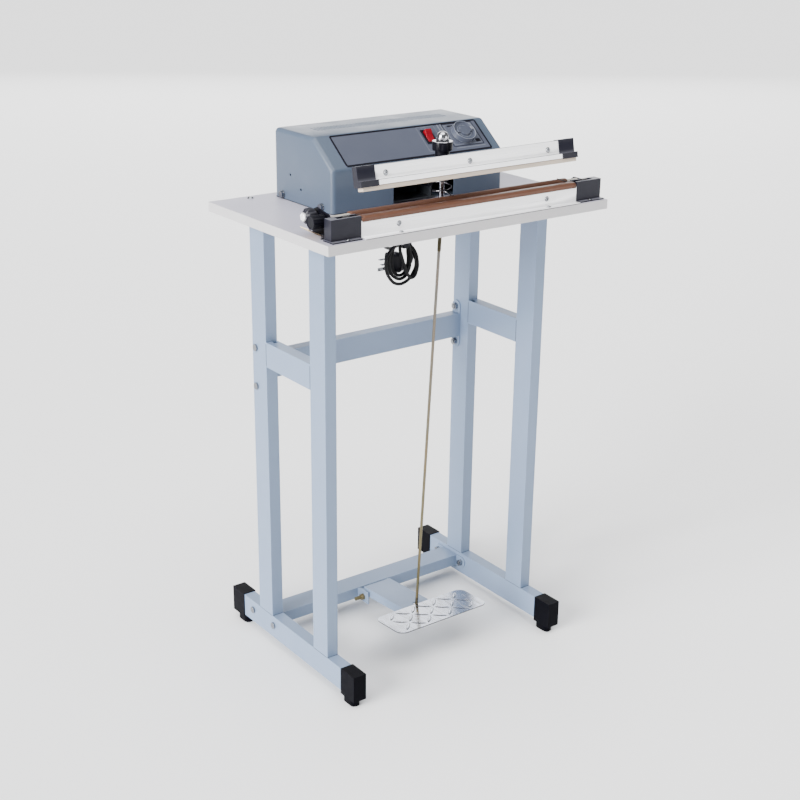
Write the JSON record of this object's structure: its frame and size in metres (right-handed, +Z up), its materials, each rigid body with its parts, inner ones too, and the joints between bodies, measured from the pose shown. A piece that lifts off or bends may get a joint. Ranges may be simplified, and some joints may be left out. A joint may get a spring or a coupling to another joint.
{
  "type": "impulse heat sealer",
  "caption": "Foot-pedal impulse heat sealer: jaws, control housing and spindle on a table, pull rod and pedal on a tube stand.",
  "frame": {"origin": "floor level, at the middle of the outline", "axes": "+Z up, X along the jaws, -Y towards the operator"},
  "size_m": [0.64, 0.465, 1.0705],
  "materials": {
    "frame_paint": "light blue-grey powder coat",
    "housing_paint": "mid blue-grey powder coat",
    "laminate": "light grey laminate on board",
    "edging": "pale grey edge banding",
    "black_plastic": "moulded black plastic",
    "jaw_aluminium": "fine satin white-silver",
    "bright_steel": "zinc-plated steel",
    "yellow_zinc": "yellow zinc plating",
    "chrome": "polished chrome",
    "tread_steel": "polished tread plate",
    "arm_paint": "painted steel",
    "cloth_brown": "glossy coated glass cloth",
    "phenolic": "brown insulating strip",
    "silicone": "beige silicone rubber",
    "nichrome": "resistance ribbon",
    "panel": "dark slate panel film",
    "rocker_red": "glossy red",
    "dial_grey": "translucent grey plastic",
    "board_green": "circuit board",
    "core_steel": "varnished laminations",
    "terminal_white": "white moulding",
    "bush_brass": "turned brass",
    "spring_steel": "plated spring wire",
    "cord_black": "black flexible lead"
  },
  "bodies": {
    "stand": {"left_foot_rail": "frame_paint", "right_foot_rail": "frame_paint", "left_front_leg": "frame_paint", "left_rear_leg": "frame_paint", "right_front_leg": "frame_paint", "right_rear_leg": "frame_paint", "left_side_rail": "frame_paint", "right_side_rail": "frame_paint", "mid_beam": "frame_paint", "lower_beam": "frame_paint", "pedal_lugs": "frame_paint", "foot_caps": "black_plastic", "fasteners": "bright_steel", "worktop": "laminate", "worktop_edging": "edging", "housing": "housing_paint", "housing_base": "housing_paint", "control_panel": "panel", "switch_body": "black_plastic", "timer_board": "board_green", "transformer": "core_steel", "terminal_block": "terminal_white", "microswitch": "black_plastic", "arm_bracket": "arm_paint", "pivot_shaft": "bright_steel", "lower_jaw_bar": "jaw_aluminium", "insulation_strip": "phenolic", "heating_wire": "nichrome", "ptfe_cloth": "cloth_brown", "left_end_box": "black_plastic", "right_end_box": "black_plastic", "lower_jaw_screws": "bright_steel", "roller_brackets": "black_plastic", "tension_springs": "spring_steel", "wire_clamps": "arm_paint", "spindle_bush": "bush_brass", "return_spring": "spring_steel", "power_cord": "cord_black", "cord_coil": "cord_black", "power_plug": "black_plastic", "cord_fixings": "black_plastic", "hinge_bolt": "yellow_zinc"},
    "jaw": {"jaw_arm": "arm_paint", "upper_jaw_bar": "jaw_aluminium", "upper_jaw_caps": "black_plastic", "upper_jaw_screws": "bright_steel", "silicone_strip": "silicone"},
    "spindle": {"spindle": "chrome", "knob_nut": "chrome", "pull_rod": "yellow_zinc"},
    "pedal": {"pedal_arm": "frame_paint", "tread_plate": "tread_steel"},
    "knob": {"pressure_knob": "black_plastic"},
    "rocker": {"power_rocker": "rocker_red"},
    "dial": {"timer_dial": "dial_grey"},
    "roller": {"cloth_roller": "cloth_brown"},
    "lock_knob": {"roller_lock_knob": "black_plastic"},
    "left_lever": {"left_tension_lever": "bright_steel"},
    "right_lever": {"right_tension_lever": "bright_steel"},
    "switch_blade": {"microswitch_lever": "bright_steel"}
  },
  "joints": [
    {"name": "jaw_hinge", "type": "hinge", "parent": "stand", "child": "jaw", "pos_m": [0, -0.022, 0.985], "axis": [1, 0, 0], "range_deg": [0, 12], "stiffness_Nm_per_rad": 8, "springref_deg": -31.51, "deforming": ["return_spring"]},
    {"name": "spindle_slide", "type": "slide", "parent": "stand", "child": "spindle", "axis": [0, 0, -1], "range_m": [0, 0.0224]},
    {"name": "pedal_hinge", "type": "hinge", "parent": "stand", "child": "pedal", "pos_m": [0, 0.065, 0.05], "axis": [1, 0, 0], "range_deg": [0, 9.7]},
    {"name": "knob_turn", "type": "hinge", "parent": "spindle", "child": "knob", "pos_m": [0, -0.126, 1.04], "axis": [0, 0, 1], "continuous": true},
    {"name": "rocker_tilt", "type": "hinge", "parent": "stand", "child": "rocker", "pos_m": [0.057, -0.01128, 1.03765], "axis": [1, 0, 0], "range_deg": [0, 16]},
    {"name": "dial_turn", "type": "hinge", "parent": "stand", "child": "dial", "pos_m": [0.137, -0.01611, 1.03895], "axis": [0, -0.6173, 0.7867], "range_deg": [-150, 150]},
    {"name": "roller_turn", "type": "hinge", "parent": "stand", "child": "roller", "pos_m": [0, -0.177, 0.955], "axis": [1, 0, 0], "continuous": true},
    {"name": "lock_knob_turn", "type": "hinge", "parent": "stand", "child": "lock_knob", "pos_m": [-0.3, -0.1505, 0.9595], "axis": [1, 0, 0], "range_deg": [-180, 180]},
    {"name": "left_lever_swing", "type": "hinge", "parent": "stand", "child": "left_lever", "pos_m": [-0.272, -0.208, 0.94], "axis": [0, -1, 0], "range_deg": [0, 5], "stiffness_Nm_per_rad": 0.5, "springref_deg": -17.19},
    {"name": "right_lever_swing", "type": "hinge", "parent": "stand", "child": "right_lever", "pos_m": [0.28, -0.208, 0.94], "axis": [0, 1, 0], "range_deg": [0, 5], "stiffness_Nm_per_rad": 0.5, "springref_deg": -17.19},
    {"name": "switch_blade_swing", "type": "hinge", "parent": "stand", "child": "switch_blade", "pos_m": [0.036, -0.02, 0.9716], "axis": [1, 0, 0], "range_deg": [0, 10.4]}
  ],
  "couplings": [
    {"joint": "spindle_slide", "follows": "jaw_hinge", "m_per_rad": 0.1065},
    {"joint": "pedal_hinge", "follows": "jaw_hinge", "ratio": 0.8},
    {"joint": "switch_blade_swing", "follows": "jaw_hinge", "ratio": 0.86}
  ]
}
